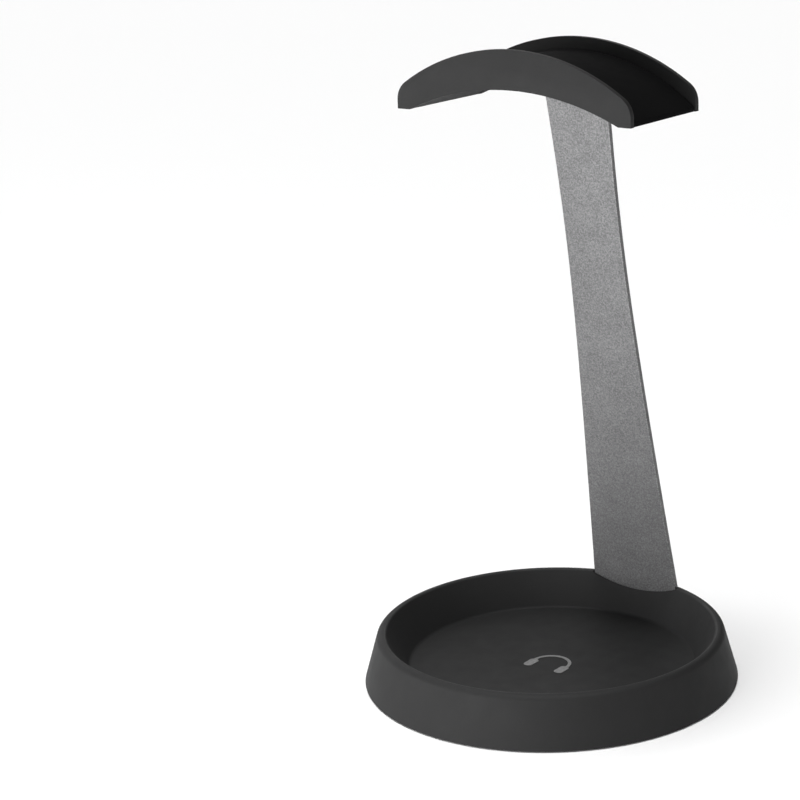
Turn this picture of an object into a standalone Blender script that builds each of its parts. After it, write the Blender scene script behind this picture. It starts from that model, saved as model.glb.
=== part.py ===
"""Headphone stand: a round catch-all tray, a leaning flat metal post and an arched padded saddle.

The origin is the centre of the underside. +Z is up, -Y is the front and the saddle arches along X.
Lengths are in metres. Every separate piece of the real stand is one object.
"""

import math

import bmesh
import bpy
from mathutils import Matrix, Vector

MM = 0.001
GAP = 0.3 * MM                  # clearance between pieces that touch on the real stand
SEGMENTS = 72                   # steps round the tray and the discs below it

# Tray: a moulded shell with a flared outer wall, a rounded rim and a sloped inner wall.
BASE_RADIUS = 72.5 * MM
BASE_CLEARANCE = 0.3 * MM       # the shell's lower edge hovers this far above the table
TRAY_HEIGHT = 19.6 * MM
OUTER_FLARE = 0.286             # the outer wall's radius lost for each unit of height
OUTER_WALL = 2.5 * MM
FLOOR_TOP = 5.8 * MM
FLOOR_THICKNESS = 2.1 * MM
FLOOR_RADIUS = 55.2 * MM
INNER_SLOPE = 0.63              # the inner wall's radius gained for each unit of height
INNER_WALL = 2.7 * MM
RIM_OUTER_ROUND = 2.7 * MM
RIM_INNER_ROUND = 0.8 * MM
FLOOR_ROUND = 2.0 * MM
FOOT_ROUND = 0.4 * MM
CAVITY_TOP = 14.5 * MM

# Underside: a steel plate closes the shell and a soft pad covers its screws.
PAD_RADIUS = 66.5 * MM
PAD_THICKNESS = 1.2 * MM
PLATE_RADIUS = 68.6 * MM
PLATE_THICKNESS = 1.8 * MM
PLATE_BOTTOM = PAD_THICKNESS + GAP
PLATE_TOP = PLATE_BOTTOM + PLATE_THICKNESS
BOSS_COUNT = 6
BOSS_CIRCLE = 63.6 * MM
BOSS_RADIUS = 3.2 * MM
BOSS_TOP = 12.4 * MM

# Post: a flat bar that leans forward, narrowest near the top, with a tab bent under the saddle.
POST_LEAN = math.atan(0.185)
POST_THICKNESS = 2.2 * MM
POST_FRONT_AT_TABLE = 64.2 * MM  # where the front face's plane meets the table, along Y
POST_BOTTOM = PLATE_TOP + GAP
TONGUE_HALF_WIDTH = 14.0 * MM
SHOULDER_HEIGHT = 12.4 * MM
WAIST_HEIGHT = 172.0 * MM
WAIST_HALF_WIDTH = 12.5 * MM
WAIST_BLEND = 60.0 * MM
WAIST_FLARE = 0.0675
BEND_RADIUS = 2.0 * MM
TAB_LENGTH = 28.5 * MM
TAB_CORNER = 4.0 * MM

# Saddle: an arched channel between two thin cheeks. A soft liner fills its floor and turns down
# over its two ends. The cheeks' upper edge, the liner and the hollow below share one centre.
SADDLE_HALF_LENGTH = 50.9 * MM
SADDLE_FRONT = -18.9 * MM
SADDLE_BACK = 26.8 * MM
CHEEK = 2.2 * MM
ARC_CENTRE = 159.3 * MM
TOP_ARC = 85.1 * MM
LINER_ARC = 80.5 * MM
LINER_THICKNESS = 1.3 * MM
LINER_HALF_LENGTH = SADDLE_HALF_LENGTH - GAP
CHANNEL_ARC = LINER_ARC - LINER_THICKNESS - GAP
CHANNEL_HALF_LENGTH = LINER_HALF_LENGTH - LINER_THICKNESS - GAP
CHANNEL_THICKNESS = 2.7 * MM
SADDLE_BOTTOM = 220.1 * MM
SKIRT_ARC = 110.5 * MM
SKIRT_CENTRE = 119.45 * MM
END_ROUND = 8.0 * MM            # the cheeks' upper corners
LINER_ROUND = 1.0 * MM
ARC_STEPS = 28

# Mounting block under the saddle's shell, and the tab below it.
BLOCK_BOTTOM = 233.2 * MM
BLOCK_TOP = 236.0 * MM
BLOCK_HALF_LENGTH = 12.5 * MM
BLOCK_FRONT = -9.0 * MM
BLOCK_BACK = 15.5 * MM
TAB_TOP = BLOCK_BOTTOM - GAP
TAB_BOTTOM = TAB_TOP - POST_THICKNESS

# Fasteners.
SCREW_RADIUS = 1.5 * MM
SCREW_HEAD_RADIUS = 2.8 * MM
SCREW_HEAD_HEIGHT = 1.4 * MM
PAN_HEAD_RADIUS = 2.5 * MM
SCREW_SIDES = 16
RECESS_WIDTH = 0.8 * MM
RECESS_LENGTH = 3.0 * MM
RECESS_DEPTH = 0.9 * MM
BASE_SCREW_LENGTH = 8.0 * MM
SADDLE_SCREW_LENGTH = 4.7 * MM
POST_SCREW_LENGTH = 5.0 * MM
SADDLE_SCREW_X = 6.0 * MM
SADDLE_SCREW_Y = (-3.5 * MM, 9.5 * MM)
INSERT_RADIUS = 2.3 * MM
INSERT_BOTTOM = BLOCK_BOTTOM + 0.1 * MM
INSERT_TOP = 235.4 * MM
POST_SCREW_X = 6.0 * MM
POST_SCREW_HEIGHT = 6.2 * MM
LUG_HALF_WIDTH = 10.0 * MM
LUG_TOP = 8.4 * MM
WINDOW_FRONT = 51.5 * MM
WINDOW_BACK = 59.8 * MM


def clear_scene():
    for item in list(bpy.data.objects):
        bpy.data.objects.remove(item, do_unlink=True)


def make_material(name, colour, metallic, roughness):
    material = bpy.data.materials.new(name)
    material.use_nodes = True
    shader = material.node_tree.nodes["Principled BSDF"]
    shader.inputs["Base Color"].default_value = (*colour, 1.0)
    shader.inputs["Metallic"].default_value = metallic
    shader.inputs["Roughness"].default_value = roughness
    return material


def make_object(name, bm, material=None):
    """Turn a bmesh into a named object; without a material it is only a cutter or a guide."""
    bmesh.ops.recalc_face_normals(bm, faces=bm.faces)
    mesh = bpy.data.meshes.new(name)
    bm.to_mesh(mesh)
    bm.free()
    mesh.shade_smooth()
    mesh.set_sharp_from_angle(angle=math.radians(35))
    item = bpy.data.objects.new(name, mesh)
    bpy.context.scene.collection.objects.link(item)
    if material is None:
        item.hide_render = True
        item.display_type = 'WIRE'
    else:
        mesh.materials.append(material)
    return item


def combine(target, tool, operation):
    """Add a Boolean of the tool to the target: DIFFERENCE cuts, UNION joins."""
    modifier = target.modifiers.new(tool.name, 'BOOLEAN')
    modifier.operation = operation
    modifier.solver = 'EXACT'
    modifier.object = tool
    return target


# ---- shapes ----

def rounded(profile, corners):
    """Return the profile with the numbered corners replaced by arcs of the given radii."""
    result = []
    for index, point in enumerate(profile):
        radius = corners.get(index)
        if radius is None:
            result.append(tuple(point))
            continue
        here = Vector(point)
        before = (Vector(profile[index - 1]) - here).normalized()
        after = (Vector(profile[(index + 1) % len(profile)]) - here).normalized()
        half_angle = before.angle(after) / 2
        reach = radius / math.tan(half_angle)
        centre = here + (before + after).normalized() * radius / math.sin(half_angle)
        start = here + before * reach - centre
        end = here + after * reach - centre
        steps = 3
        for step in range(steps + 1):
            spoke = start.slerp(end, step / steps).normalized() * radius
            result.append(tuple(centre + spoke))
    return result


def turned(profile, segments=SEGMENTS):
    """Spin an (r, z) profile about +Z. It starts and ends on the axis, or closes on itself."""
    bm = bmesh.new()
    verts = [bm.verts.new((radius, 0.0, height)) for radius, height in profile]
    pairs = list(zip(verts, verts[1:]))
    if profile[0][0] > 0:
        pairs.append((verts[-1], verts[0]))
    edges = [bm.edges.new(pair) for pair in pairs]
    bmesh.ops.spin(
        bm, geom=verts + edges, cent=(0, 0, 0), axis=(0, 0, 1),
        angle=math.tau, steps=segments, use_merge=True,
    )
    bmesh.ops.remove_doubles(bm, verts=bm.verts, dist=0.001 * MM)
    return bm


def extruded(outline, front, back):
    """Extrude a closed (x, z) outline along Y."""
    bm = bmesh.new()
    face = bm.faces.new([bm.verts.new((x, front, z)) for x, z in outline])
    grown = bmesh.ops.extrude_face_region(bm, geom=[face])
    verts = [item for item in grown["geom"] if isinstance(item, bmesh.types.BMVert)]
    bmesh.ops.translate(bm, verts=verts, vec=(0, back - front, 0))
    return bm


def block(low, high):
    bm = bmesh.new()
    size = Vector(high) - Vector(low)
    centre = (Vector(high) + Vector(low)) / 2
    bmesh.ops.create_cube(bm, size=1.0, matrix=Matrix.Translation(centre) @ Matrix.Diagonal((*size, 1.0)))
    return bm


def repeated(make_bmesh, places):
    """One mesh that holds a copy of a shape at each place, for cutters and bosses."""
    joined = bmesh.new()
    for place in places:
        single = make_bmesh()
        single.transform(place)
        mesh = bpy.data.meshes.new("copy")
        single.to_mesh(mesh)
        single.free()
        joined.from_mesh(mesh)
        bpy.data.meshes.remove(mesh)
    return joined


def arc(radius, centre, half_length, steps=ARC_STEPS):
    """Points of a crown-up arc in the XZ plane, from -half_length to +half_length."""
    limit = math.asin(half_length / radius)
    angles = [limit * (2 * step / steps - 1) for step in range(steps + 1)]
    return [(radius * math.sin(a), centre + radius * math.cos(a)) for a in angles]


# ---- places of the fasteners ----

def boss_places(height=0.0):
    angles = [math.tau * index / BOSS_COUNT for index in range(BOSS_COUNT)]
    return [
        Matrix.Translation((BOSS_CIRCLE * math.cos(a), BOSS_CIRCLE * math.sin(a), height))
        for a in angles
    ]


def saddle_screw_places(height):
    return [
        Matrix.Translation((x, y, height))
        for y in SADDLE_SCREW_Y
        for x in (-SADDLE_SCREW_X, SADDLE_SCREW_X)
    ]


def post_front(height):
    """Y of the post's front face at a height."""
    return POST_FRONT_AT_TABLE - math.tan(POST_LEAN) * height


def post_screw_places():
    """Frames on the post's back face whose +Z runs forward through the post."""
    back = post_front(POST_SCREW_HEIGHT) + (POST_THICKNESS + GAP) / math.cos(POST_LEAN)
    turn = Matrix.Rotation(math.radians(90) + POST_LEAN, 4, 'X')
    return [
        Matrix.Translation((x, back, POST_SCREW_HEIGHT)) @ turn
        for x in (-POST_SCREW_X, POST_SCREW_X)
    ]


# ---- base ----

def outer_radius(height):
    return BASE_RADIUS - OUTER_FLARE * height


def inner_radius(height):
    return FLOOR_RADIUS + INNER_SLOPE * (height - FLOOR_TOP)


def tray_profile():
    floor_bottom = FLOOR_TOP - FLOOR_THICKNESS
    corners = {
        1: FLOOR_ROUND,
        2: RIM_INNER_ROUND,
        3: RIM_OUTER_ROUND,
        4: FOOT_ROUND,
    }
    profile = [
        (0.0, FLOOR_TOP),
        (inner_radius(FLOOR_TOP), FLOOR_TOP),
        (inner_radius(TRAY_HEIGHT), TRAY_HEIGHT),
        (outer_radius(TRAY_HEIGHT), TRAY_HEIGHT),
        (outer_radius(BASE_CLEARANCE), BASE_CLEARANCE),
        (outer_radius(BASE_CLEARANCE) - OUTER_WALL, BASE_CLEARANCE),
        (outer_radius(CAVITY_TOP) - OUTER_WALL, CAVITY_TOP),
        (inner_radius(CAVITY_TOP) + INNER_WALL, CAVITY_TOP),
        (inner_radius(floor_bottom) + INNER_WALL, floor_bottom),
        (0.0, floor_bottom),
    ]
    return rounded(profile, corners)


def make_tray(material):
    """The shell, with its six screw bosses and the slot that the post stands in."""
    tray = make_object("tray_base", turned(tray_profile()), material)
    floor_bottom = FLOOR_TOP - FLOOR_THICKNESS

    def boss():
        return turned([(0, floor_bottom), (BOSS_RADIUS, floor_bottom), (BOSS_RADIUS, BOSS_TOP), (0, BOSS_TOP)], 20)

    def pilot():
        radius = SCREW_RADIUS + GAP
        top = PLATE_BOTTOM + BASE_SCREW_LENGTH + GAP
        return turned([(0, 0), (radius, 0), (radius, top), (0, top)], SCREW_SIDES)

    combine(tray, make_object("boss_guide", repeated(boss, boss_places())), 'UNION')
    combine(tray, make_object("pilot_cutter", repeated(pilot, boss_places())), 'DIFFERENCE')
    combine(tray, make_object("slot_cutter", post_bmesh(GAP)), 'DIFFERENCE')
    return tray


def make_foot_pad(material):
    profile = [(0, 0), (PAD_RADIUS, 0), (PAD_RADIUS, PAD_THICKNESS), (0, PAD_THICKNESS)]
    return make_object("foot_pad", turned(profile), material)


def countersink(depth_below, depth_above):
    """Cutter for a flat-head screw whose head is flush with z = 0."""
    wide = SCREW_HEAD_RADIUS + GAP
    narrow = SCREW_RADIUS + GAP
    profile = [
        (0, -depth_below),
        (wide, -depth_below),
        (wide, 0),
        (narrow, SCREW_HEAD_HEIGHT),
        (narrow, depth_above),
        (0, depth_above),
    ]
    return turned(profile, SCREW_SIDES)


def make_base_plate(material):
    """Steel plate with an upturned lug at the back that carries the post."""
    profile = [(0, PLATE_BOTTOM), (PLATE_RADIUS, PLATE_BOTTOM), (PLATE_RADIUS, PLATE_TOP), (0, PLATE_TOP)]
    plate = make_object("base_plate", turned(profile), material)

    across = math.cos(POST_LEAN)
    bottom = PLATE_BOTTOM + PLATE_THICKNESS / 3
    bm = block((-LUG_HALF_WIDTH, 0, bottom), (LUG_HALF_WIDTH, PLATE_THICKNESS / across, LUG_TOP))
    for vert in bm.verts:
        vert.co.y += post_front(vert.co.z) - (GAP + PLATE_THICKNESS) / across
    combine(plate, make_object("lug_guide", bm), 'UNION')

    low = (-LUG_HALF_WIDTH, WINDOW_FRONT, 0)
    high = (LUG_HALF_WIDTH, WINDOW_BACK, FLOOR_TOP)
    combine(plate, make_object("window_cutter", block(low, high)), 'DIFFERENCE')

    sinks = repeated(lambda: countersink(GAP, FLOOR_TOP), boss_places(PLATE_BOTTOM))
    combine(plate, make_object("plate_hole_cutter", sinks), 'DIFFERENCE')
    combine(plate, make_object("lug_hole_cutter", repeated(post_hole, post_screw_places())), 'DIFFERENCE')
    return plate


# ---- post ----

def post_hole():
    """Straight cutter for a post screw, along +Z from the post's back face."""
    radius = SCREW_RADIUS + GAP
    reach = POST_SCREW_LENGTH + 1 * MM
    return turned([(0, -GAP), (radius, -GAP), (radius, reach), (0, reach)], SCREW_SIDES)


def post_half_width(height):
    """The bar's outline: two nearly straight flanks that blend through a waist."""
    away = math.hypot(height - WAIST_HEIGHT, WAIST_BLEND) - WAIST_BLEND
    return WAIST_HALF_WIDTH + WAIST_FLARE * away


def post_stations():
    """Stations up the bar, round the bend and along the tab.

    Each is (y, z) on the front or under face, the face's outward angle from -Y, and a half-width.
    """
    stations = []

    def upright(height, half_width):
        stations.append((post_front(height), height, POST_LEAN, half_width))

    upright(POST_BOTTOM, TONGUE_HALF_WIDTH)
    upright(SHOULDER_HEIGHT, TONGUE_HALF_WIDTH)
    upright(SHOULDER_HEIGHT + 0.5 * MM, post_half_width(SHOULDER_HEIGHT))

    centre_z = TAB_BOTTOM - BEND_RADIUS
    bend_start = centre_z - BEND_RADIUS * math.sin(POST_LEAN)
    centre_y = post_front(bend_start) - BEND_RADIUS * math.cos(POST_LEAN)
    first = SHOULDER_HEIGHT + 4 * MM
    steps = 18
    for step in range(steps):
        height = first + (bend_start - first) * step / steps
        upright(height, post_half_width(height))

    top_width = post_half_width(TAB_BOTTOM)
    bend_steps = 6
    for step in range(bend_steps + 1):
        angle = POST_LEAN + (math.pi / 2 - POST_LEAN) * step / bend_steps
        y = centre_y + BEND_RADIUS * math.cos(angle)
        z = centre_z + BEND_RADIUS * math.sin(angle)
        stations.append((y, z, angle, top_width))

    tip = centre_y - TAB_LENGTH
    corner_steps = 5
    for step in range(corner_steps + 1):
        angle = math.pi / 2 * step / corner_steps
        y = tip + TAB_CORNER - TAB_CORNER * math.sin(angle)
        half_width = top_width - TAB_CORNER + TAB_CORNER * math.cos(angle)
        stations.append((y, TAB_BOTTOM, math.pi / 2, half_width))
    return stations


def post_bmesh(growth=0.0):
    """The bar's solid, or a larger copy of it to cut its neighbours with."""
    bm = bmesh.new()
    rings = []
    for y, z, angle, half_width in post_stations():
        outward = Vector((0, math.cos(angle), math.sin(angle)))
        near = Vector((0, y, z)) - outward * growth
        far = Vector((0, y, z)) + outward * (POST_THICKNESS + growth)
        side = Vector((half_width + growth, 0, 0))
        rings.append([bm.verts.new(point) for point in (near - side, near + side, far + side, far - side)])
    for ring, following in zip(rings, rings[1:]):
        for index in range(4):
            other = (index + 1) % 4
            bm.faces.new((ring[index], ring[other], following[other], following[index]))
    bm.faces.new(rings[0])
    bm.faces.new(rings[-1])
    return bm


def make_post(material):
    post = make_object("post", post_bmesh(), material)
    combine(post, make_object("post_hole_cutter", repeated(post_hole, post_screw_places())), 'DIFFERENCE')
    sinks = repeated(lambda: countersink(GAP, 4 * MM), saddle_screw_places(TAB_BOTTOM))
    combine(post, make_object("tab_hole_cutter", sinks), 'DIFFERENCE')
    return post


# ---- saddle ----

def cheek_top():
    """The cheeks' upper edge: a long arc that turns down at each end in a small round."""
    lean = math.asin((SADDLE_HALF_LENGTH - END_ROUND) / (TOP_ARC - END_ROUND))
    across = SADDLE_HALF_LENGTH - END_ROUND
    height = ARC_CENTRE + (TOP_ARC - END_ROUND) * math.cos(lean)
    steps = 6
    right = []
    for step in range(1, steps + 1):
        angle = lean + (math.pi / 2 - lean) * step / steps
        right.append((across + END_ROUND * math.sin(angle), height + END_ROUND * math.cos(angle)))
    left = [(-x, z) for x, z in reversed(right)]
    return left + arc(TOP_ARC, ARC_CENTRE, TOP_ARC * math.sin(lean)) + right


def make_saddle(material):
    """The arched channel: cheeks in front and behind, a thin floor, and a mounting block below it."""
    skirt_end = math.sqrt(SKIRT_ARC ** 2 - (SADDLE_BOTTOM - SKIRT_CENTRE) ** 2)
    skirt = arc(SKIRT_ARC, SKIRT_CENTRE, skirt_end)
    foot = [(SADDLE_HALF_LENGTH, SADDLE_BOTTOM)]
    other_foot = [(-SADDLE_HALF_LENGTH, SADDLE_BOTTOM)]
    outline = cheek_top() + foot + skirt[::-1] + other_foot
    saddle = make_object("saddle_body", extruded(outline, SADDLE_FRONT, SADDLE_BACK), material)

    inner_front = SADDLE_FRONT + CHEEK
    inner_back = SADDLE_BACK - CHEEK
    above = ARC_CENTRE + TOP_ARC + 10 * MM
    below = SADDLE_BOTTOM - 1 * MM
    beyond = SADDLE_HALF_LENGTH + 5 * MM
    channel = arc(CHANNEL_ARC, ARC_CENTRE, CHANNEL_HALF_LENGTH)
    right_end = [(CHANNEL_HALF_LENGTH, below), (beyond, below), (beyond, above)]
    left_end = [(-x, z) for x, z in reversed(right_end)]
    hollow_arc = CHANNEL_ARC - CHANNEL_THICKNESS
    hollow_half = math.sqrt(hollow_arc ** 2 - (SADDLE_BOTTOM - GAP - ARC_CENTRE) ** 2)
    hollow = arc(hollow_arc, ARC_CENTRE, hollow_half)
    for name, outline in (("channel_cutter", channel + right_end + left_end), ("hollow_cutter", hollow)):
        combine(saddle, make_object(name, extruded(outline, inner_front, inner_back)), 'DIFFERENCE')

    low = (-BLOCK_HALF_LENGTH, BLOCK_FRONT, BLOCK_BOTTOM)
    high = (BLOCK_HALF_LENGTH, BLOCK_BACK, BLOCK_TOP)
    combine(saddle, make_object("block_guide", block(low, high)), 'UNION')

    def insert_hole():
        radius = INSERT_RADIUS + GAP
        top = INSERT_TOP + GAP
        return turned([(0, TAB_TOP), (radius, TAB_TOP), (radius, top), (0, top)], SCREW_SIDES)

    holes = repeated(insert_hole, saddle_screw_places(0.0))
    combine(saddle, make_object("insert_hole_cutter", holes), 'DIFFERENCE')
    return saddle


def make_saddle_pad(material):
    """Soft liner that the headband rests on, with a lip over each end of the channel."""
    upper = arc(LINER_ARC, ARC_CENTRE, LINER_HALF_LENGTH)
    lip_inside = LINER_HALF_LENGTH - LINER_THICKNESS
    lower = arc(LINER_ARC - LINER_THICKNESS, ARC_CENTRE, lip_inside)
    right_lip = [(LINER_HALF_LENGTH, SADDLE_BOTTOM), (lip_inside, SADDLE_BOTTOM)]
    left_lip = [(-x, z) for x, z in reversed(right_lip)]
    outline = rounded(upper + right_lip + lower[::-1] + left_lip, {0: LINER_ROUND, len(upper) - 1: LINER_ROUND})
    front = SADDLE_FRONT + CHEEK + GAP
    back = SADDLE_BACK - CHEEK - GAP
    return make_object("saddle_pad", extruded(outline, front, back), material)


def make_inserts(material):
    """Threaded sleeves in the mounting block, one for each saddle screw."""
    bore = SCREW_RADIUS + GAP
    profile = [
        (bore, INSERT_BOTTOM),
        (INSERT_RADIUS, INSERT_BOTTOM),
        (INSERT_RADIUS, INSERT_TOP),
        (bore, INSERT_TOP),
    ]
    for number, place in enumerate(saddle_screw_places(0.0), start=1):
        sleeve = make_object(f"saddle_insert_{number}", turned(profile, SCREW_SIDES), material)
        sleeve.matrix_world = place


# ---- screws ----

def screw_mesh(profile, material):
    """A turned screw with a cross recess in its head at z = 0, ready to be shared by its copies."""
    blank = make_object("screw_blank", turned(profile, SCREW_SIDES), material)
    low = profile[0][1] - GAP
    high = profile[0][1] + RECESS_DEPTH
    half = RECESS_WIDTH / 2
    reach = RECESS_LENGTH / 2
    bars = (
        block((-reach, -half, low), (reach, half, high)),
        block((-half, -reach, low), (half, reach, high)),
    )
    tools = [make_object("recess_cutter", bar) for bar in bars]
    for tool in tools:
        combine(blank, tool, 'DIFFERENCE')
    depsgraph = bpy.context.evaluated_depsgraph_get()
    mesh = bpy.data.meshes.new_from_object(blank.evaluated_get(depsgraph))
    for item in (blank, *tools):
        bpy.data.objects.remove(item)
    return mesh


def flat_head_profile(length):
    return [
        (0, 0),
        (SCREW_HEAD_RADIUS, 0),
        (SCREW_RADIUS, SCREW_HEAD_HEIGHT),
        (SCREW_RADIUS, length - 0.5 * MM),
        (SCREW_RADIUS - 0.5 * MM, length),
        (0, length),
    ]


def pan_head_profile(length):
    """The head stands below z = 0 and the shank above it."""
    return [
        (0, -SCREW_HEAD_HEIGHT),
        (PAN_HEAD_RADIUS - 0.6 * MM, -SCREW_HEAD_HEIGHT),
        (PAN_HEAD_RADIUS, -SCREW_HEAD_HEIGHT + 0.6 * MM),
        (PAN_HEAD_RADIUS, 0),
        (SCREW_RADIUS, 0),
        (SCREW_RADIUS, length - 0.5 * MM),
        (SCREW_RADIUS - 0.5 * MM, length),
        (0, length),
    ]


def place_screws(prefix, mesh, places):
    for number, place in enumerate(places, start=1):
        screw = bpy.data.objects.new(f"{prefix}_{number}", mesh)
        bpy.context.scene.collection.objects.link(screw)
        screw.matrix_world = place


def make_screws(material):
    base = screw_mesh(flat_head_profile(BASE_SCREW_LENGTH), material)
    place_screws("base_screw", base, boss_places(PLATE_BOTTOM))
    saddle = screw_mesh(flat_head_profile(SADDLE_SCREW_LENGTH), material)
    place_screws("saddle_screw", saddle, saddle_screw_places(TAB_BOTTOM))
    post = screw_mesh(pan_head_profile(POST_SCREW_LENGTH), material)
    place_screws("post_screw", post, post_screw_places())


def main():
    clear_scene()
    soft_touch = make_material("soft_touch_black", (0.035, 0.035, 0.037), 0.0, 0.62)
    rubber = make_material("black_rubber", (0.012, 0.012, 0.013), 0.0, 0.85)
    foam = make_material("black_foam", (0.02, 0.02, 0.021), 0.0, 0.95)
    aluminium = make_material("blasted_aluminium", (0.36, 0.36, 0.365), 1.0, 0.5)
    plate_steel = make_material("zinc_plated_steel", (0.55, 0.56, 0.58), 1.0, 0.4)
    screw_steel = make_material("black_oxide_steel", (0.08, 0.08, 0.085), 1.0, 0.45)
    brass = make_material("brass", (0.72, 0.53, 0.25), 1.0, 0.35)

    make_tray(soft_touch)
    make_base_plate(plate_steel)
    make_foot_pad(foam)
    make_post(aluminium)
    make_saddle(soft_touch)
    make_saddle_pad(rubber)
    make_inserts(brass)
    make_screws(screw_steel)


main()
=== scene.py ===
import math

import bmesh
import bpy
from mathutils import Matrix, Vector


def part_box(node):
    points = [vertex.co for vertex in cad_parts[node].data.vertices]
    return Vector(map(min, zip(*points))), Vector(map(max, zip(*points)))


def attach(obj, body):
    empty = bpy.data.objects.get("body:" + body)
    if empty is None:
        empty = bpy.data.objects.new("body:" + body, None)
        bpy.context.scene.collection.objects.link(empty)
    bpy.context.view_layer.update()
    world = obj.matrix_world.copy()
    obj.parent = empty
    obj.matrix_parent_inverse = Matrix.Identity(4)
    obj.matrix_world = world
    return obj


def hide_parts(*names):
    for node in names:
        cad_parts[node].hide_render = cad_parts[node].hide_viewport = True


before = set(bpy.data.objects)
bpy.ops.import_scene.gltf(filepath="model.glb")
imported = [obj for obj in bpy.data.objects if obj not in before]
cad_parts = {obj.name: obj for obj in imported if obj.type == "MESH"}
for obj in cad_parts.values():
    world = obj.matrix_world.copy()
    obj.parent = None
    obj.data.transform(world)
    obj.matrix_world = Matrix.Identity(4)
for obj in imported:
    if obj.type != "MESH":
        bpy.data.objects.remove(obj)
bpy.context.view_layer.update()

mm = 0.001
gap = 0.3 * mm      # room left between neighbouring pieces, as in the CAD solids
weld = 0.002 * mm   # points closer than this are merged
near = 0.02 * mm    # how exactly a point has to lie on a ring to be picked
print("frame loaded with", len(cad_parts), "nodes")


# small tools shared by all pieces

def deselectAll():
    if bpy.context.object and bpy.context.object.mode != 'OBJECT':
        bpy.ops.object.mode_set(mode='OBJECT')
    bpy.ops.object.select_all(action='DESELECT')


def makeActive(piece):
    deselectAll()
    piece.select_set(True)
    bpy.context.view_layer.objects.active = piece


def openEdit(piece, kind='VERT'):
    makeActive(piece)
    bpy.ops.object.mode_set(mode='EDIT')
    bpy.ops.mesh.select_mode(type=kind)
    bpy.ops.mesh.select_all(action='DESELECT')


def closeEdit():
    bpy.ops.object.mode_set(mode='OBJECT')


def pickEdges(piece, test):
    # selects the edges whose two ends both pass the test, in edge mode
    mesh = bmesh.from_edit_mesh(piece.data)
    for edge in mesh.edges:
        edge.select_set(test(edge.verts[0].co) and test(edge.verts[1].co))
    bmesh.update_edit_mesh(piece.data)


def startPoint(name, spot):
    # a plane merged into one vertex, which later strokes extrude
    deselectAll()
    bpy.ops.mesh.primitive_plane_add(size=1 * mm, location=spot)
    piece = bpy.context.object
    piece.name = name
    bpy.ops.object.transform_apply(location=True, rotation=False, scale=False)
    bpy.ops.object.mode_set(mode='EDIT')
    bpy.ops.mesh.select_mode(type='VERT')
    bpy.ops.mesh.select_all(action='SELECT')
    bpy.ops.mesh.merge(type='CENTER')
    return piece


def stroke(points):
    # extrudes the picked vertex from the first point through the others
    for here, there in zip(points, points[1:]):
        step = Vector(there) - Vector(here)
        bpy.ops.mesh.extrude_region_move(TRANSFORM_OT_translate={"value": step})


def strokeArc(centreHeight, angle, steps, across=0.0):
    # sweeps the picked vertex about a line along Y; spin turns left-handed, hence the minus
    centre = (across, 0, centreHeight)
    bpy.ops.mesh.spin(steps=steps, angle=-angle, center=centre, axis=(0, 1, 0))


def tidyNormals():
    bpy.ops.mesh.select_all(action='SELECT')
    bpy.ops.mesh.remove_doubles(threshold=weld)
    bpy.ops.mesh.normals_make_consistent(inside=False)


def turnProfile(name, profile, steps):
    # a closed body turned about Z, from (radius, height) points that start and end on the axis
    points = [(radius, 0, height) for radius, height in profile]
    piece = startPoint(name, points[0])
    stroke(points)
    bpy.ops.mesh.select_all(action='SELECT')
    bpy.ops.mesh.spin(steps=steps, angle=math.tau, center=(0, 0, 0), axis=(0, 0, 1))
    tidyNormals()
    closeEdit()
    return piece


def fillAndExtrude(piece, travel):
    # turns a closed stroke into a solid
    bpy.ops.mesh.select_all(action='SELECT')
    bpy.ops.mesh.remove_doubles(threshold=weld)
    bpy.ops.mesh.edge_face_add()
    bpy.ops.mesh.select_all(action='SELECT')
    bpy.ops.mesh.extrude_region_move(TRANSFORM_OT_translate={"value": travel})
    tidyNormals()
    closeEdit()


def addBox(name, low, high):
    deselectAll()
    low, high = Vector(low), Vector(high)
    bpy.ops.mesh.primitive_cube_add(size=1, location=(low + high) / 2)
    box = bpy.context.object
    box.name = name
    box.scale = high - low
    bpy.ops.object.transform_apply(location=True, rotation=False, scale=True)
    return box


def finishWith(piece, kind, **settings):
    # adds a modifier and applies it
    makeActive(piece)
    modifier = piece.modifiers.new(kind.lower(), kind)
    for key, value in settings.items():
        setattr(modifier, key, value)
    bpy.ops.object.modifier_apply(modifier=modifier.name)


def carve(piece, cutter, operation='DIFFERENCE'):
    finishWith(piece, 'BOOLEAN', object=cutter, operation=operation, solver='EXACT')
    bpy.data.objects.remove(cutter)


def drillHole(piece, profile, mouth, tilt=0.0):
    # cuts a turned hole; its profile counts upwards from the mouth, and tilt turns it about X
    cutter = turnProfile("holeCutter", profile, screw["steps"])
    cutter.location = mouth
    cutter.rotation_euler.x = tilt
    carve(piece, cutter)


def roundEdges(piece, width, segments=3, angle=40, slot=-1):
    # slot is the material slot that the new faces take, or -1 for their neighbours' own
    finishWith(
        piece, 'BEVEL', width=width, segments=segments, limit_method='ANGLE',
        angle_limit=math.radians(angle), miter_outer='MITER_ARC', material=slot,
    )


def smoothShade(piece, angle=35):
    makeActive(piece)
    bpy.ops.object.shade_smooth_by_angle(angle=math.radians(angle))


def addSlots(piece, *materials):
    for material in materials:
        piece.data.materials.append(material)


def place(piece, slotName, *nodes):
    # sets the piece on the frame and hides the CAD nodes it stands for
    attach(piece, "root")
    if nodes:
        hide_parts(*nodes)


# node tools for the materials

def newMaterial(name, colour, roughness=0.5, metallic=0.0, specular=0.5):
    material = bpy.data.materials.new(name)
    material.use_nodes = True
    shader = material.node_tree.nodes["Principled BSDF"]
    shader.inputs["Base Color"].default_value = (*colour, 1)
    shader.inputs["Roughness"].default_value = roughness
    shader.inputs["Metallic"].default_value = metallic
    shader.inputs["Specular IOR Level"].default_value = specular
    return material


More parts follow.
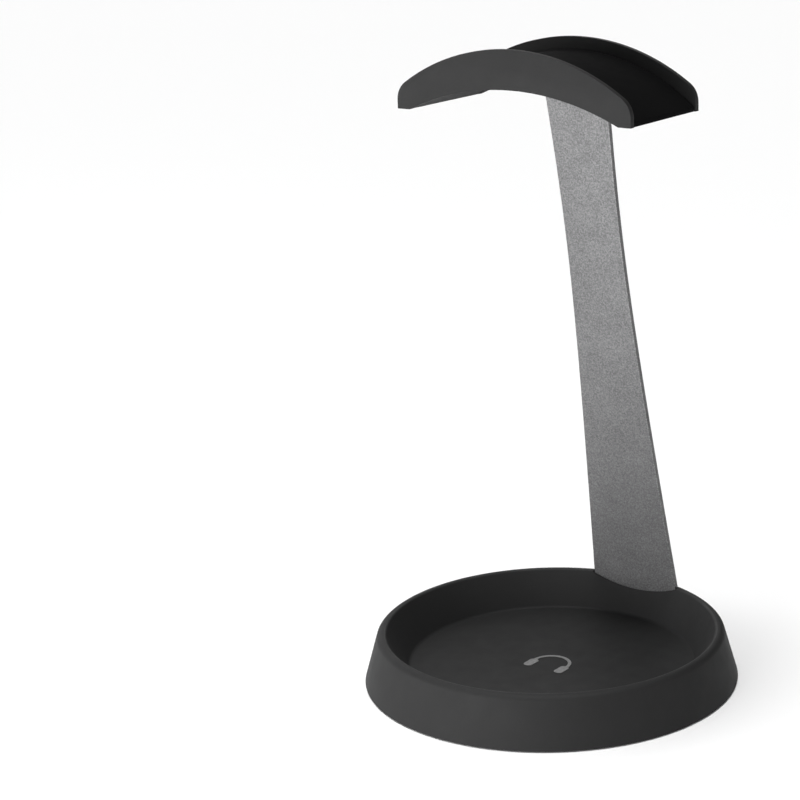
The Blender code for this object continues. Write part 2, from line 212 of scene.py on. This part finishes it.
def addNode(material, kind, **inputs):
    node = material.node_tree.nodes.new(kind)
    for key, value in inputs.items():
        node.inputs[key].default_value = value
    return node


def join(material, fromSocket, toSocket):
    material.node_tree.links.new(fromSocket, toSocket)


def feed(material, value, socketName):
    # links a pattern to one of the shader's own sockets
    shader = material.node_tree.nodes["Principled BSDF"]
    join(material, value, shader.inputs[socketName])


def objectCoordinates(material):
    return addNode(material, "ShaderNodeTexCoord").outputs["Object"]


def addNoise(material, coordinates, scale, detail=2.0, roughness=0.5):
    noise = addNode(material, "ShaderNodeTexNoise", Scale=scale, Detail=detail, Roughness=roughness)
    join(material, coordinates, noise.inputs["Vector"])
    return noise.outputs["Fac"]


def spread(material, value, low, high, fromLow=0.3, fromHigh=0.7):
    # maps a pattern's range to new limits
    mapper = addNode(material, "ShaderNodeMapRange")
    mapper.inputs["From Min"].default_value = fromLow
    mapper.inputs["From Max"].default_value = fromHigh
    mapper.inputs["To Min"].default_value = low
    mapper.inputs["To Max"].default_value = high
    join(material, value, mapper.inputs["Value"])
    return mapper.outputs["Result"]


def addTogether(material, first, second):
    total = addNode(material, "ShaderNodeMath")
    total.operation = 'ADD'
    join(material, first, total.inputs[0])
    join(material, second, total.inputs[1])
    return total.outputs["Value"]


def colourRamp(material, value, *stops):
    # stops are (position, colour), from the lowest up
    ramp = addNode(material, "ShaderNodeValToRGB")
    elements = ramp.color_ramp.elements
    while len(elements) < len(stops):
        elements.new(0.5)
    for element, (position, colour) in zip(elements, stops):
        element.position = position
        element.color = (*colour, 1)
    join(material, value, ramp.inputs["Fac"])
    return ramp.outputs["Color"]


def addBump(material, height, strength, distance):
    bump = addNode(material, "ShaderNodeBump", Strength=strength, Distance=distance)
    join(material, height, bump.inputs["Height"])
    return bump.outputs["Normal"]


# materials

softTouchLook = {
    "dark": (0.0182, 0.0182, 0.0184),
    "light": (0.0206, 0.0206, 0.0208),
    "darkAt": 0.1,
    "lightAt": 0.9,
    "roughLow": 0.60,
    "roughHigh": 0.66,
    "specular": 0.15,
    "cloudScale": 55,
    "cloudShare": 0.6,
    "speckleScale": 1500,
    "sheenScale": 140,
    "grainScale": 2600,
    "grainStrength": 0.35,
    "grainDepth": 0.012 * mm,
}

# lighter and smoother, for the outer edges: partly rubbed wear, partly a painted highlight along them
wearAndHighlightCoatLook = {
    **softTouchLook,
    "dark": (0.0200, 0.0200, 0.0202),
    "light": (0.0340, 0.0340, 0.0343),
    "roughLow": 0.50,
    "roughHigh": 0.62,
}

# painted shade: a darker copy of the coat for the saddle's inside, where less light falls
paintedShadeCoatLook = {
    **softTouchLook,
    "dark": (0.0150, 0.0150, 0.0152),
    "light": (0.0175, 0.0175, 0.0177),
    "specular": 0.1,
}


def softTouchPlastic(name, look):
    # moulded shell with a matte soft-touch coat: spark grain, faint clouding and uneven sheen
    material = newMaterial(name, look["dark"], specular=look["specular"])
    where = objectCoordinates(material)
    clouds = addNoise(material, where, look["cloudScale"], detail=5, roughness=0.6)
    speckle = addNoise(material, where, look["speckleScale"])
    tone = addTogether(
        material,
        spread(material, clouds, 0.0, look["cloudShare"]),
        spread(material, speckle, 0.0, 1 - look["cloudShare"]),
    )
    dark, light = (look["darkAt"], look["dark"]), (look["lightAt"], look["light"])
    feed(material, colourRamp(material, tone, dark, light), "Base Color")
    sheen = addNoise(material, where, look["sheenScale"], detail=4)
    feed(material, spread(material, sheen, look["roughLow"], look["roughHigh"]), "Roughness")
    grain = addNoise(material, where, look["grainScale"], detail=3, roughness=0.65)
    feed(material, addBump(material, grain, look["grainStrength"], look["grainDepth"]), "Normal")
    return material


postLook = {
    "dark": (0.120, 0.120, 0.122),
    "base": (0.170, 0.170, 0.172),
    "light": (0.232, 0.232, 0.235),
    "darkAt": 0.15,
    "baseAt": 0.5,
    "lightAt": 0.85,
    "metallic": 0.75,
    "specular": 0.3,
    "roughLow": 0.52,
    "roughHigh": 0.70,
    "grainScale": 1500,
    "grainShare": 0.85,
    "grainFrom": 0.32,
    "grainTo": 0.68,
    "cloudScale": 90,
    "pitScale": 1200,
    "pitStrength": 0.5,
    "pitDepth": 0.03 * mm,
}

# lighter along the bar's edges: partly bare metal showing through wear, partly a painted highlight
wearAndHighlightMetalLook = {
    **postLook,
    "dark": (0.15, 0.15, 0.152),
    "base": (0.22, 0.22, 0.222),
    "light": (0.36, 0.36, 0.365),
    "roughLow": 0.40,
    "roughHigh": 0.55,
}


def blastedAluminium(name, look):
    # bead-blasted and anodised metal: a dense pitted grain with bright and dark specks
    material = newMaterial(name, look["base"], metallic=look["metallic"], specular=look["specular"])
    where = objectCoordinates(material)
    grain = addNoise(material, where, look["grainScale"], detail=4, roughness=0.7)
    clouds = addNoise(material, where, look["cloudScale"], detail=4, roughness=0.6)
    tone = addTogether(
        material,
        spread(material, grain, 0.0, look["grainShare"], look["grainFrom"], look["grainTo"]),
        spread(material, clouds, 0.0, 1 - look["grainShare"]),
    )
    stops = [(look[shade + "At"], look[shade]) for shade in ("dark", "base", "light")]
    feed(material, colourRamp(material, tone, *stops), "Base Color")
    feed(material, spread(material, grain, look["roughHigh"], look["roughLow"]), "Roughness")
    pits = addNoise(material, where, look["pitScale"], detail=3, roughness=0.6)
    feed(material, addBump(material, pits, look["pitStrength"], look["pitDepth"]), "Normal")
    return material


linerLook = {
    "dark": (0.0029, 0.0029, 0.0030),
    "light": (0.0043, 0.0043, 0.0045),
    "darkAt": 0.3,
    "lightAt": 0.7,
    "roughLow": 0.86,
    "roughHigh": 0.98,
    "specular": 0.06,
    "cloudScale": 160,
    "poreScale": 1400,
    "poreStrength": 0.4,
    "poreDepth": 0.06 * mm,
}

# coarser and paler, for the foam under the base
footLook = {
    **linerLook,
    "dark": (0.012, 0.012, 0.0125),
    "light": (0.022, 0.022, 0.023),
    "specular": 0.2,
    "poreScale": 900,
    "poreDepth": 0.12 * mm,
}


def softLiner(name, look):
    # dead-matte cellular rubber with fine pores
    material = newMaterial(name, look["dark"], specular=look["specular"])
    where = objectCoordinates(material)
    cells = addNode(material, "ShaderNodeTexVoronoi", Scale=look["poreScale"])
    join(material, where, cells.inputs["Vector"])
    clouds = addNoise(material, where, look["cloudScale"], detail=5)
    dark, light = (look["darkAt"], look["dark"]), (look["lightAt"], look["light"])
    feed(material, colourRamp(material, clouds, dark, light), "Base Color")
    feed(material, spread(material, clouds, look["roughLow"], look["roughHigh"]), "Roughness")
    pores = addBump(material, cells.outputs["Distance"], look["poreStrength"], look["poreDepth"])
    feed(material, pores, "Normal")
    return material


metalLook = {
    "stainScale": 700,
    "stainShade": 0.7,
    "darkAt": 0.3,
    "lightAt": 0.65,
    "smoother": 0.08,
    "rougher": 0.12,
    "stainStrength": 0.15,
    "stainDepth": 0.02 * mm,
}


def turnedMetal(name, colour, roughness):
    # plated or oxidised steel and brass of the small hardware
    look = metalLook
    material = newMaterial(name, colour, metallic=1.0)
    stain = addNoise(material, objectCoordinates(material), look["stainScale"], detail=5, roughness=0.6)
    darker = tuple(look["stainShade"] * channel for channel in colour)
    dark, light = (look["darkAt"], darker), (look["lightAt"], colour)
    feed(material, colourRamp(material, stain, dark, light), "Base Color")
    low, high = roughness - look["smoother"], roughness + look["rougher"]
    feed(material, spread(material, stain, low, high), "Roughness")
    feed(material, addBump(material, stain, look["stainStrength"], look["stainDepth"]), "Normal")
    return material


inkLook = {
    "dark": (0.17, 0.17, 0.17),
    "light": (0.26, 0.26, 0.26),
    "darkAt": 0.3,
    "lightAt": 0.7,
    "roughness": 0.6,
    "patchScale": 900,
}


def printedInk(name, look):
    # pale pad-printed ink, slightly uneven
    material = newMaterial(name, look["dark"], look["roughness"])
    patches = addNoise(material, objectCoordinates(material), look["patchScale"], detail=4)
    dark, light = (look["darkAt"], look["dark"]), (look["lightAt"], look["light"])
    feed(material, colourRamp(material, patches, dark, light), "Base Color")
    return material


softTouch = softTouchPlastic("softTouchCoat", softTouchLook)
# edge coat: lighter partly as wear and partly as a painted highlight
wearAndHighlightCoat = softTouchPlastic("wearAndHighlightCoat", wearAndHighlightCoatLook)
# a darker copy of the coat that paints the shade inside the saddle
paintedShadeCoat = softTouchPlastic("paintedShadeCoat", paintedShadeCoatLook)
blastedMetal = blastedAluminium("blastedMetal", postLook)
# edge metal: lighter partly as wear and partly as a painted highlight
wearAndHighlightMetal = blastedAluminium("wearAndHighlightMetal", wearAndHighlightMetalLook)
padLiner = softLiner("padLiner", linerLook)
footFoam = softLiner("footFoam", footLook)
zincSteel = turnedMetal("zincSteel", (0.55, 0.56, 0.58), 0.35)
blackOxide = turnedMetal("blackOxide", (0.09, 0.09, 0.095), 0.42)
brassMetal = turnedMetal("brassMetal", (0.72, 0.53, 0.25), 0.3)
ink = printedInk("paleInk", inkLook)
print("materials made")


# post: a flat bar that leans forward, bent into a tab under the saddle

# the screws set the holes in the bar; lugX and lugHeight place the two at its foot
screw = {
    "shank": 1.5 * mm,
    "head": 2.8 * mm,
    "headHeight": 1.4 * mm,
    "lugX": 6.0 * mm,
    "lugHeight": 6.2 * mm,
    "reach": 5.0 * mm,
    "steps": 32,
}

post = {
    "lean": math.atan(0.185),
    "thickness": 2.2 * mm,
    "frontAtTable": 64.2 * mm,
    "tongueHalfWidth": 14.0 * mm,
    "shoulder": 12.4 * mm,
    "shoulderStep": 0.5 * mm,
    "flankStart": 4.0 * mm,
    "waistHeight": 172.0 * mm,
    "waistHalfWidth": 12.5 * mm,
    "waistBlend": 60.0 * mm,
    "flare": 0.0675,
    "bendRadius": 2.0 * mm,
    "bendSteps": 10,
    "tabBottom": 230.7 * mm,
    "tabLength": 28.5 * mm,
    "steps": 60,
    "edge": 0.3 * mm,
}
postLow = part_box("post")[0]


def postHalfWidth(height):
    away = math.hypot(height - post["waistHeight"], post["waistBlend"]) - post["waistBlend"]
    return post["waistHalfWidth"] + post["flare"] * away


def postFront(height):
    return post["frontAtTable"] - math.tan(post["lean"]) * height


def liftEnd(step, widen=1.0):
    # extrudes the picked end face and widens it across the bar
    bpy.ops.mesh.extrude_region_move(TRANSFORM_OT_translate={"value": step})
    if widen != 1.0:
        bpy.ops.transform.resize(value=(widen, 1, 1), center_override=(0, 0, 0))


def makeBar(name, growth=0.0):
    # the bar's solid; with growth it is the cutter for the tray's slot
    lean, bend, shoulder = post["lean"], post["bendRadius"], post["shoulder"]
    thick = post["thickness"] + 2 * growth
    outward = Vector((0, math.cos(lean), math.sin(lean)))
    foot = Vector((0, postFront(postLow.z), postLow.z)) + outward * post["thickness"] / 2
    deselectAll()
    bpy.ops.mesh.primitive_plane_add(size=1, location=foot, rotation=(lean, 0, 0))
    bar = bpy.context.object
    bar.name = name
    bar.scale = (2 * (post["tongueHalfWidth"] + growth), thick, 1)
    bpy.ops.object.transform_apply(location=True, rotation=True, scale=True)
    bpy.ops.object.mode_set(mode='EDIT')
    bpy.ops.mesh.select_all(action='SELECT')

    bendCentreZ = post["tabBottom"] - bend
    bendStart = bendCentreZ - bend * math.sin(lean)
    centre = Vector((0, postFront(bendStart) - bend * math.cos(lean), bendCentreZ))
    heights = [postLow.z, shoulder, shoulder + post["shoulderStep"]]
    widths = [post["tongueHalfWidth"], post["tongueHalfWidth"], postHalfWidth(shoulder)]
    first = shoulder + post["flankStart"]
    for step in range(post["steps"] + 1):
        height = first + (bendStart - first) * step / post["steps"]
        heights.append(height)
        widths.append(postHalfWidth(height))
    for index in range(1, len(heights)):
        rise = heights[index] - heights[index - 1]
        widen = (widths[index] + growth) / (widths[index - 1] + growth)
        liftEnd((0, -math.tan(lean) * rise, rise), widen)

    turn = lean - math.pi / 2
    bpy.ops.mesh.spin(steps=post["bendSteps"], angle=turn, center=centre, axis=(1, 0, 0))
    liftEnd((0, -post["tabLength"], 0))
    tidyNormals()
    closeEdit()
    return bar


def nodesNamed(start):
    return sorted(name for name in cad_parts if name.startswith(start))


def middleBelow(name):
    # the middle of a node's underside
    low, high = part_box(name)
    return Vector(((low.x + high.x) / 2, (low.y + high.y) / 2, low.z))


def drillBar(piece):
    # countersunk holes through the tab and plain ones through the foot
    wide, narrow = screw["head"] + gap, screw["shank"] + gap
    reach = screw["reach"]
    mouthEdge = [(0, -gap), (wide, -gap), (wide, 0)]
    sink = mouthEdge + [(narrow, screw["headHeight"]), (narrow, reach), (0, reach)]
    plain = [(0, -reach), (narrow, -reach), (narrow, reach), (0, reach)]
    for name in nodesNamed("saddle_screw"):
        drillHole(piece, sink, middleBelow(name))
    for side in (-1, 1):
        mouth = (side * screw["lugX"], postFront(screw["lugHeight"]), screw["lugHeight"])
        drillHole(piece, plain, mouth, post["lean"] - math.pi / 2)


bar = makeBar("postBar")
addSlots(bar, blastedMetal, wearAndHighlightMetal)
# the bar's rounded edges take the lighter metal, partly wear and partly a painted highlight
roundEdges(bar, post["edge"], slot=1)
drillBar(bar)
smoothShade(bar)
place(bar, "post_aluminium", "post")
print("post made")


# tray: a turned shell with a flared wall, a rounded rim and a sloped inner wall

tray = {
    "flare": 0.286,
    "outerWall": 2.5 * mm,
    "floorTop": 5.8 * mm,
    "floorThickness": 2.1 * mm,
    "floorRadius": 55.2 * mm,
    "innerSlope": 0.63,
    "innerWall": 2.7 * mm,
    "cavityTop": 14.5 * mm,
    "baseRadius": 72.5 * mm,
    # bevels: width, then segments
    "rimOuter": (2.025 * mm, 8),
    "rimInner": (0.6 * mm, 5),
    "floorEdge": (1.0 * mm, 6),
    "footEdge": (0.28 * mm, 4),
    "slotRoom": 0.4 * mm,
    "smoothAngle": 30,
    "steps": 200,
}
trayLow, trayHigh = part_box("tray_base")


def trayOuter(height):
    return tray["baseRadius"] - tray["flare"] * height


def trayInner(height):
    return tray["floorRadius"] + tray["innerSlope"] * (height - tray["floorTop"])


def bevelRing(piece, radius, height, bevel, slot=-1):
    # rounds the ring of edges at a radius and height
    def onRing(point):
        aside = math.hypot(point.x, point.y) - radius
        return abs(aside) < near and abs(point.z - height) < near
    width, segments = bevel
    openEdit(piece, 'EDGE')
    pickEdges(piece, onRing)
    bpy.ops.mesh.bevel(
        offset=width, offset_type='OFFSET', segments=segments, affect='EDGES', material=slot,
    )
    closeEdit()


def makeTray():
    low, high = trayLow.z, trayHigh.z
    floorBottom = tray["floorTop"] - tray["floorThickness"]
    profile = [
        (0, tray["floorTop"]),
        (trayInner(tray["floorTop"]), tray["floorTop"]),
        (trayInner(high), high),
        (trayOuter(high), high),
        (trayOuter(low), low),
        (trayOuter(low) - tray["outerWall"], low),
        (trayOuter(tray["cavityTop"]) - tray["outerWall"], tray["cavityTop"]),
        (trayInner(tray["cavityTop"]) + tray["innerWall"], tray["cavityTop"]),
        (trayInner(floorBottom) + tray["innerWall"], floorBottom),
        (0, floorBottom),
    ]
    shell = turnProfile("trayShell", profile, tray["steps"])
    addSlots(shell, softTouch, wearAndHighlightCoat)
    bevelRing(shell, trayOuter(high), high, tray["rimOuter"])
    # the inner rim's rounding takes the edge coat, lighter partly as wear and partly as a painted
    # highlight
    bevelRing(shell, trayInner(high), high, tray["rimInner"], slot=1)
    bevelRing(shell, trayInner(tray["floorTop"]), tray["floorTop"], tray["floorEdge"])
    bevelRing(shell, trayOuter(low), low, tray["footEdge"])
    carve(shell, makeBar("slotCutter", tray["slotRoom"]))
    smoothShade(shell, tray["smoothAngle"])
    return shell


shell = makeTray()
place(shell, "soft_touch_shell", "tray_base")
print("tray made")


# mark: a generic line drawing of headphones, printed on the tray's floor

mark = {
    "centre": (2.0 * mm, -3.5 * mm),
    "bandRadius": 7.4 * mm,
    "bandWidth": 1.3 * mm,
    "bandSteps": 40,
    "cupLow": (5.2 * mm, -6.4 * mm),
    "cupHigh": (8.9 * mm, 0.5 * mm),
    "cupRound": 1.5 * mm,
    "cupSegments": 8,
    "height": 0.12 * mm,
    "smoothAngle": 30,
}


def makeBand():
    # half a ring, open towards the front
    across, along = mark["centre"]
    centre = (across, along, tray["floorTop"])
    inner = mark["bandRadius"] - mark["bandWidth"] / 2
    band = startPoint("markBand", (across + inner, along, tray["floorTop"]))
    stroke([(inner, 0, 0), (inner + mark["bandWidth"], 0, 0)])
    bpy.ops.mesh.select_all(action='SELECT')
    bpy.ops.mesh.spin(steps=mark["bandSteps"], angle=-math.pi, center=centre, axis=(0, 0, 1))
    bpy.ops.mesh.select_all(action='SELECT')
    bpy.ops.mesh.remove_doubles(threshold=weld)
    bpy.ops.mesh.extrude_region_move(TRANSFORM_OT_translate={"value": (0, 0, mark["height"])})
    tidyNormals()
    closeEdit()
    return band


def makeCup(side):
    # one ear cup, a small block with rounded corners
    across, along = mark["centre"]
    lowX, highX = sorted((side * mark["cupLow"][0], side * mark["cupHigh"][0]))
    low = (across + lowX, along + mark["cupLow"][1], tray["floorTop"])
    high = (across + highX, along + mark["cupHigh"][1], tray["floorTop"] + mark["height"])
    cup = addBox("markCup", low, high)
    openEdit(cup, 'EDGE')
    mesh = bmesh.from_edit_mesh(cup.data)
    for edge in mesh.edges:
        edge.select_set(abs(edge.verts[0].co.z - edge.verts[1].co.z) > mark["height"] / 2)
    bmesh.update_edit_mesh(cup.data)
    bpy.ops.mesh.bevel(offset=mark["cupRound"], segments=mark["cupSegments"], affect='EDGES')
    closeEdit()
    return cup


pictogram = makeBand()
for side in (-1, 1):
    carve(pictogram, makeCup(side), 'UNION')
smoothShade(pictogram, mark["smoothAngle"])
addSlots(pictogram, ink)
place(pictogram, "mark_print")
print("mark made")


# saddle: an arched channel with a cheek in front and behind

# the soft sheet that lies in the channel and sets how deep it is
sheet = {
    "arc": 80.5 * mm,
    "thickness": 1.3 * mm,
    "endRound": 1.0 * mm,
    "edge": 0.35 * mm,
}

# the block is where the post's tab is screwed on; the cut values are how far cutters overshoot
saddle = {
    "halfLength": 50.9 * mm,
    "cheek": 2.2 * mm,
    "centre": 159.3 * mm,
    "topArc": 85.1 * mm,
    "channelThickness": 2.7 * mm,
    "bottom": 220.1 * mm,
    "skirtArc": 110.5 * mm,
    "skirtCentre": 119.45 * mm,
    "endRound": 8.0 * mm,
    "blockLow": (-12.5 * mm, -9.0 * mm, 233.2 * mm),
    "blockHigh": (12.5 * mm, 15.5 * mm, 236.0 * mm),
    "edge": 0.45 * mm,
    "coatEdge": 0.4 * mm,
    "cutAbove": 10.0 * mm,
    "cutBelow": 1.0 * mm,
    "cutBeyond": 5.0 * mm,
    "steps": 90,
    "roundSteps": 14,
}
saddleLow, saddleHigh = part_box("saddle_body")
sheetHalf = saddle["halfLength"] - gap
channelHalf = sheetHalf - sheet["thickness"] - gap
channelArc = sheet["arc"] - sheet["thickness"] - gap


def arcTop(radius, centreHeight, across):
    return centreHeight + math.sqrt(radius ** 2 - across ** 2)


def archSlab(name, radius, halfLength, otherSide, front, depth, cornerRound=0.0):
    # a solid under a long arc; otherSide strokes its outline from the right end back to the left
    centreHeight = saddle["centre"]
    across = halfLength - cornerRound
    lean = math.asin(across / (radius - cornerRound))
    cornerHeight = centreHeight + (radius - cornerRound) * math.cos(lean)
    turn = math.pi / 2 - lean
    if cornerRound:
        start = (-halfLength, front, cornerHeight)
    else:
        start = (-halfLength, front, arcTop(radius, centreHeight, halfLength))
    end = (halfLength, front, start[2])
    piece = startPoint(name, start)
    if cornerRound:
        strokeArc(cornerHeight, turn, saddle["roundSteps"], -across)
    strokeArc(centreHeight, 2 * lean, saddle["steps"])
    if cornerRound:
        strokeArc(cornerHeight, turn, saddle["roundSteps"], across)
    otherSide(end, start)
    fillAndExtrude(piece, (0, depth, 0))
    return piece


def makeSaddle():
    front = saddleLow.y
    depth = saddleHigh.y - saddleLow.y
    bottom, skirtArc, skirtCentre = saddle["bottom"], saddle["skirtArc"], saddle["skirtCentre"]
    skirtEnd = math.sqrt(skirtArc ** 2 - (bottom - skirtCentre) ** 2)

    def underneath(end, start):
        stroke([end, (end[0], end[1], bottom), (skirtEnd, end[1], bottom)])
        strokeArc(skirtCentre, -2 * math.asin(skirtEnd / skirtArc), saddle["steps"])
        stroke([(-skirtEnd, end[1], bottom), (start[0], start[1], bottom), start])

    body = archSlab(
        "saddleShell", saddle["topArc"], saddle["halfLength"], underneath,
        front, depth, saddle["endRound"],
    )

    innerFront = front + saddle["cheek"]
    innerDepth = depth - 2 * saddle["cheek"]
    above = saddle["centre"] + saddle["topArc"] + saddle["cutAbove"]
    below = bottom - saddle["cutBelow"]
    beyond = saddle["halfLength"] + saddle["cutBeyond"]
    hollowArc = channelArc - saddle["channelThickness"]
    hollowHalf = math.sqrt(hollowArc ** 2 - (bottom - gap - saddle["centre"]) ** 2)

    def roundTheEnds(end, start):
        y = end[1]
        right = [end, (end[0], y, below), (beyond, y, below), (beyond, y, above)]
        left = [(-beyond, y, above), (-beyond, y, below), (start[0], y, below), start]
        stroke(right + left)

    cutters = [
        ("channelCutter", channelArc, channelHalf, roundTheEnds),
        ("hollowCutter", hollowArc, hollowHalf, lambda end, start: stroke([end, start])),
    ]
    for name, radius, halfLength, otherSide in cutters:
        carve(body, archSlab(name, radius, halfLength, otherSide, innerFront, innerDepth))
    return body


def paintShadeInside(piece, slot):
    # the cheeks' upper edges and inner faces take the darker coat, a painted shade for the light they
    # miss
    front, back = saddleLow.y + saddle["coatEdge"], saddleHigh.y - saddle["coatEdge"]
    piece.active_material_index = slot
    openEdit(piece, 'FACE')
    mesh = bmesh.from_edit_mesh(piece.data)
    for face in mesh.faces:
        corners = [vert.co for vert in face.verts]
        reach = max(math.hypot(corner.x, corner.z - saddle["centre"]) for corner in corners)
        between = all(front < corner.y < back for corner in corners)
        face.select_set(between and reach > sheet["arc"])
    bmesh.update_edit_mesh(piece.data)
    bpy.ops.object.material_slot_assign()
    closeEdit()


def drillBlock(piece):
    # blind holes that hold the brass inserts
    for name in nodesNamed("saddle_insert"):
        low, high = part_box(name)
        radius, depth = (high.x - low.x) / 2 + gap, high.z - low.z + gap
        hole = [(0, -gap), (radius, -gap), (radius, depth), (0, depth)]
        drillHole(piece, hole, middleBelow(name))


body = makeSaddle()
addSlots(body, softTouch, wearAndHighlightCoat, paintedShadeCoat)
carve(body, addBox("mountingBlock", saddle["blockLow"], saddle["blockHigh"]), 'UNION')
# the rounded edges take the edge coat, lighter partly as wear and partly as a painted highlight
roundEdges(body, saddle["edge"], slot=1)
# painted shade on the cheeks' inner faces and upper edges
paintShadeInside(body, 2)
drillBlock(body)
smoothShade(body)
place(body, "soft_touch_shell", "saddle_body")
print("saddle made")


# liner: the soft sheet itself, between the cheeks, with a lip over each end of the channel

linerLow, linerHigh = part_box("saddle_pad")


def makeLiner():
    arcBelow = sheet["arc"] - sheet["thickness"]
    bottom = saddle["bottom"]
    lipInside = sheetHalf - sheet["thickness"]
    lipTop = arcTop(arcBelow, saddle["centre"], lipInside)

    def underneath(end, start):
        y = end[1]
        stroke([end, (end[0], y, bottom), (lipInside, y, bottom), (lipInside, y, lipTop)])
        strokeArc(saddle["centre"], -2 * math.asin(lipInside / arcBelow), saddle["steps"])
        stroke([(-lipInside, y, lipTop), (-lipInside, y, bottom), (start[0], y, bottom), start])

    depth = linerHigh.y - linerLow.y
    liner = archSlab(
        "padSheet", sheet["arc"], sheetHalf, underneath,
        linerLow.y, depth, sheet["endRound"],
    )
    roundEdges(liner, sheet["edge"])
    smoothShade(liner)
    return liner


liner = makeLiner()
addSlots(liner, padLiner)
place(liner, "pad_rubber", "saddle_pad")
print("saddle liner made")


# foot pad: the anti-slip disc below

footPad = {"edge": 0.35 * mm, "steps": 160}
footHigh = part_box("foot_pad")[1]


def makeFootPad():
    radius = footHigh.x
    profile = [(0, footHigh.z), (radius, footHigh.z), (radius, 0), (0, 0)]
    disc = turnProfile("footDisc", profile, footPad["steps"])
    roundEdges(disc, footPad["edge"])
    smoothShade(disc)
    return disc


disc = makeFootPad()
addSlots(disc, footFoam)
place(disc, "foot_foam", "foot_pad")
print("foot pad made")


# hardware kept from the CAD model, with real finishes

# the start of the nodes' names, and the material they take
hardware = {
    "base_plate": zincSteel,
    "base_screw": blackOxide,
    "post_screw": blackOxide,
    "saddle_screw": blackOxide,
    "saddle_insert": brassMetal,
}
for start, material in hardware.items():
    for name in nodesNamed(start):
        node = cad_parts[name]
        node.data.materials.clear()
        node.data.materials.append(material)
print("hardware finished")


# stage: a plain pale floor, soft light and the camera

stageLook = {
    "floorSize": 16.0,
    "floorColour": (0.96, 0.96, 0.96),
    "floorRoughness": 0.9,
    "floorSpecular": 0.1,
    "floorDrop": 0.05 * mm,
    "worldStrength": 0.02,
    # azimuth, elevation and spread in degrees, then strength; azimuth 0 is in front
    "suns": {
        "topSun": (-10, 85, 30, 2.6),
        "backSun": (-130, 30, 60, 0.87),
        "leftSun": (-55, 8, 40, 0.33),
        "rightSun": (120, 8, 50, 0.36),
    },
    # azimuth in degrees, then power
    "panels": {
        "frontPanel": (-3, 7.8),
        "leftPanel": (-55, 2.7),
    },
    "panelSize": (0.8, 0.28),
    "panelDistance": 0.9,
    "panelHeight": 0.13,
}

# angles in degrees
camera = {
    "azimuth": 34.8,
    "elevation": 15.45,
    "roll": -1.16,
    "distance": 832.0 * mm,
    "aim": Vector((0, 0, 120.0 * mm)),
    "lens": 99.73,
    "sensorWidth": 36,
    "clipStart": 0.01,
    "clipEnd": 50,
    "shiftX": -0.1820,
    "shiftY": -0.0293,
}


def addFloor():
    look = stageLook
    deselectAll()
    bpy.ops.mesh.primitive_plane_add(size=look["floorSize"], location=(0, 0, -look["floorDrop"]))
    floor = bpy.context.object
    floor.name = "stageFloor"
    roughness, specular = look["floorRoughness"], look["floorSpecular"]
    addSlots(floor, newMaterial("paleFloor", look["floorColour"], roughness, specular=specular))


def addLight(name, kind, spot, direction):
    # a light at a spot, shining against the given direction
    light = bpy.data.lights.new(name, kind)
    holder = bpy.data.objects.new(name, light)
    bpy.context.scene.collection.objects.link(holder)
    holder.location = spot
    holder.rotation_mode = 'QUATERNION'
    holder.rotation_quaternion = (-direction).to_track_quat('-Z', 'Y')
    holder.visible_camera = False
    return light


def directionOf(azimuth, elevation):
    # unit vector away from the stand, from angles in degrees
    a, e = math.radians(azimuth), math.radians(elevation)
    return Vector((math.sin(a) * math.cos(e), -math.cos(a) * math.cos(e), math.sin(e)))


def addSuns():
    # wide suns stand in for big soft boxes
    for name, (azimuth, elevation, spreadAngle, strength) in stageLook["suns"].items():
        direction = directionOf(azimuth, elevation)
        light = addLight(name, 'SUN', camera["aim"] + direction, direction)
        light.angle = math.radians(spreadAngle)
        light.energy = strength


def addPanels():
    # low strip lights that fill the upright faces
    for name, (azimuth, power) in stageLook["panels"].items():
        spot = directionOf(azimuth, 0) * stageLook["panelDistance"]
        spot.z = stageLook["panelHeight"]
        light = addLight(name, 'AREA', spot, spot - camera["aim"])
        light.shape = 'RECTANGLE'
        light.size, light.size_y = stageLook["panelSize"]
        light.energy = power


def addWorld():
    world = bpy.data.worlds.new("softWorld")
    world.use_nodes = True
    background = world.node_tree.nodes["Background"]
    background.inputs["Color"].default_value = (1, 1, 1, 1)
    background.inputs["Strength"].default_value = stageLook["worldStrength"]
    bpy.context.scene.world = world


def addCamera():
    data = bpy.data.cameras.new("productCamera")
    data.sensor_width = camera["sensorWidth"]
    data.lens = camera["lens"]
    data.shift_x = camera["shiftX"]
    data.shift_y = camera["shiftY"]
    data.clip_start, data.clip_end = camera["clipStart"], camera["clipEnd"]
    holder = bpy.data.objects.new("productCamera", data)
    bpy.context.scene.collection.objects.link(holder)
    turn, roll = math.radians(camera["azimuth"]), math.radians(camera["roll"])
    back = directionOf(camera["azimuth"], camera["elevation"])
    right = Vector((math.cos(turn), math.sin(turn), 0))
    up = back.cross(right)
    turnedRight = right * math.cos(roll) + up * math.sin(roll)
    turnedUp = up * math.cos(roll) - right * math.sin(roll)
    holder.matrix_world = [
        [turnedRight.x, turnedRight.y, turnedRight.z, 0],
        [turnedUp.x, turnedUp.y, turnedUp.z, 0],
        [back.x, back.y, back.z, 0],
        [*(camera["aim"] + back * camera["distance"]), 1],
    ]
    bpy.context.scene.camera = holder


addFloor()
addSuns()
addPanels()
addWorld()
addCamera()
bpy.context.scene.view_settings.view_transform = 'Standard'
print("stage made")
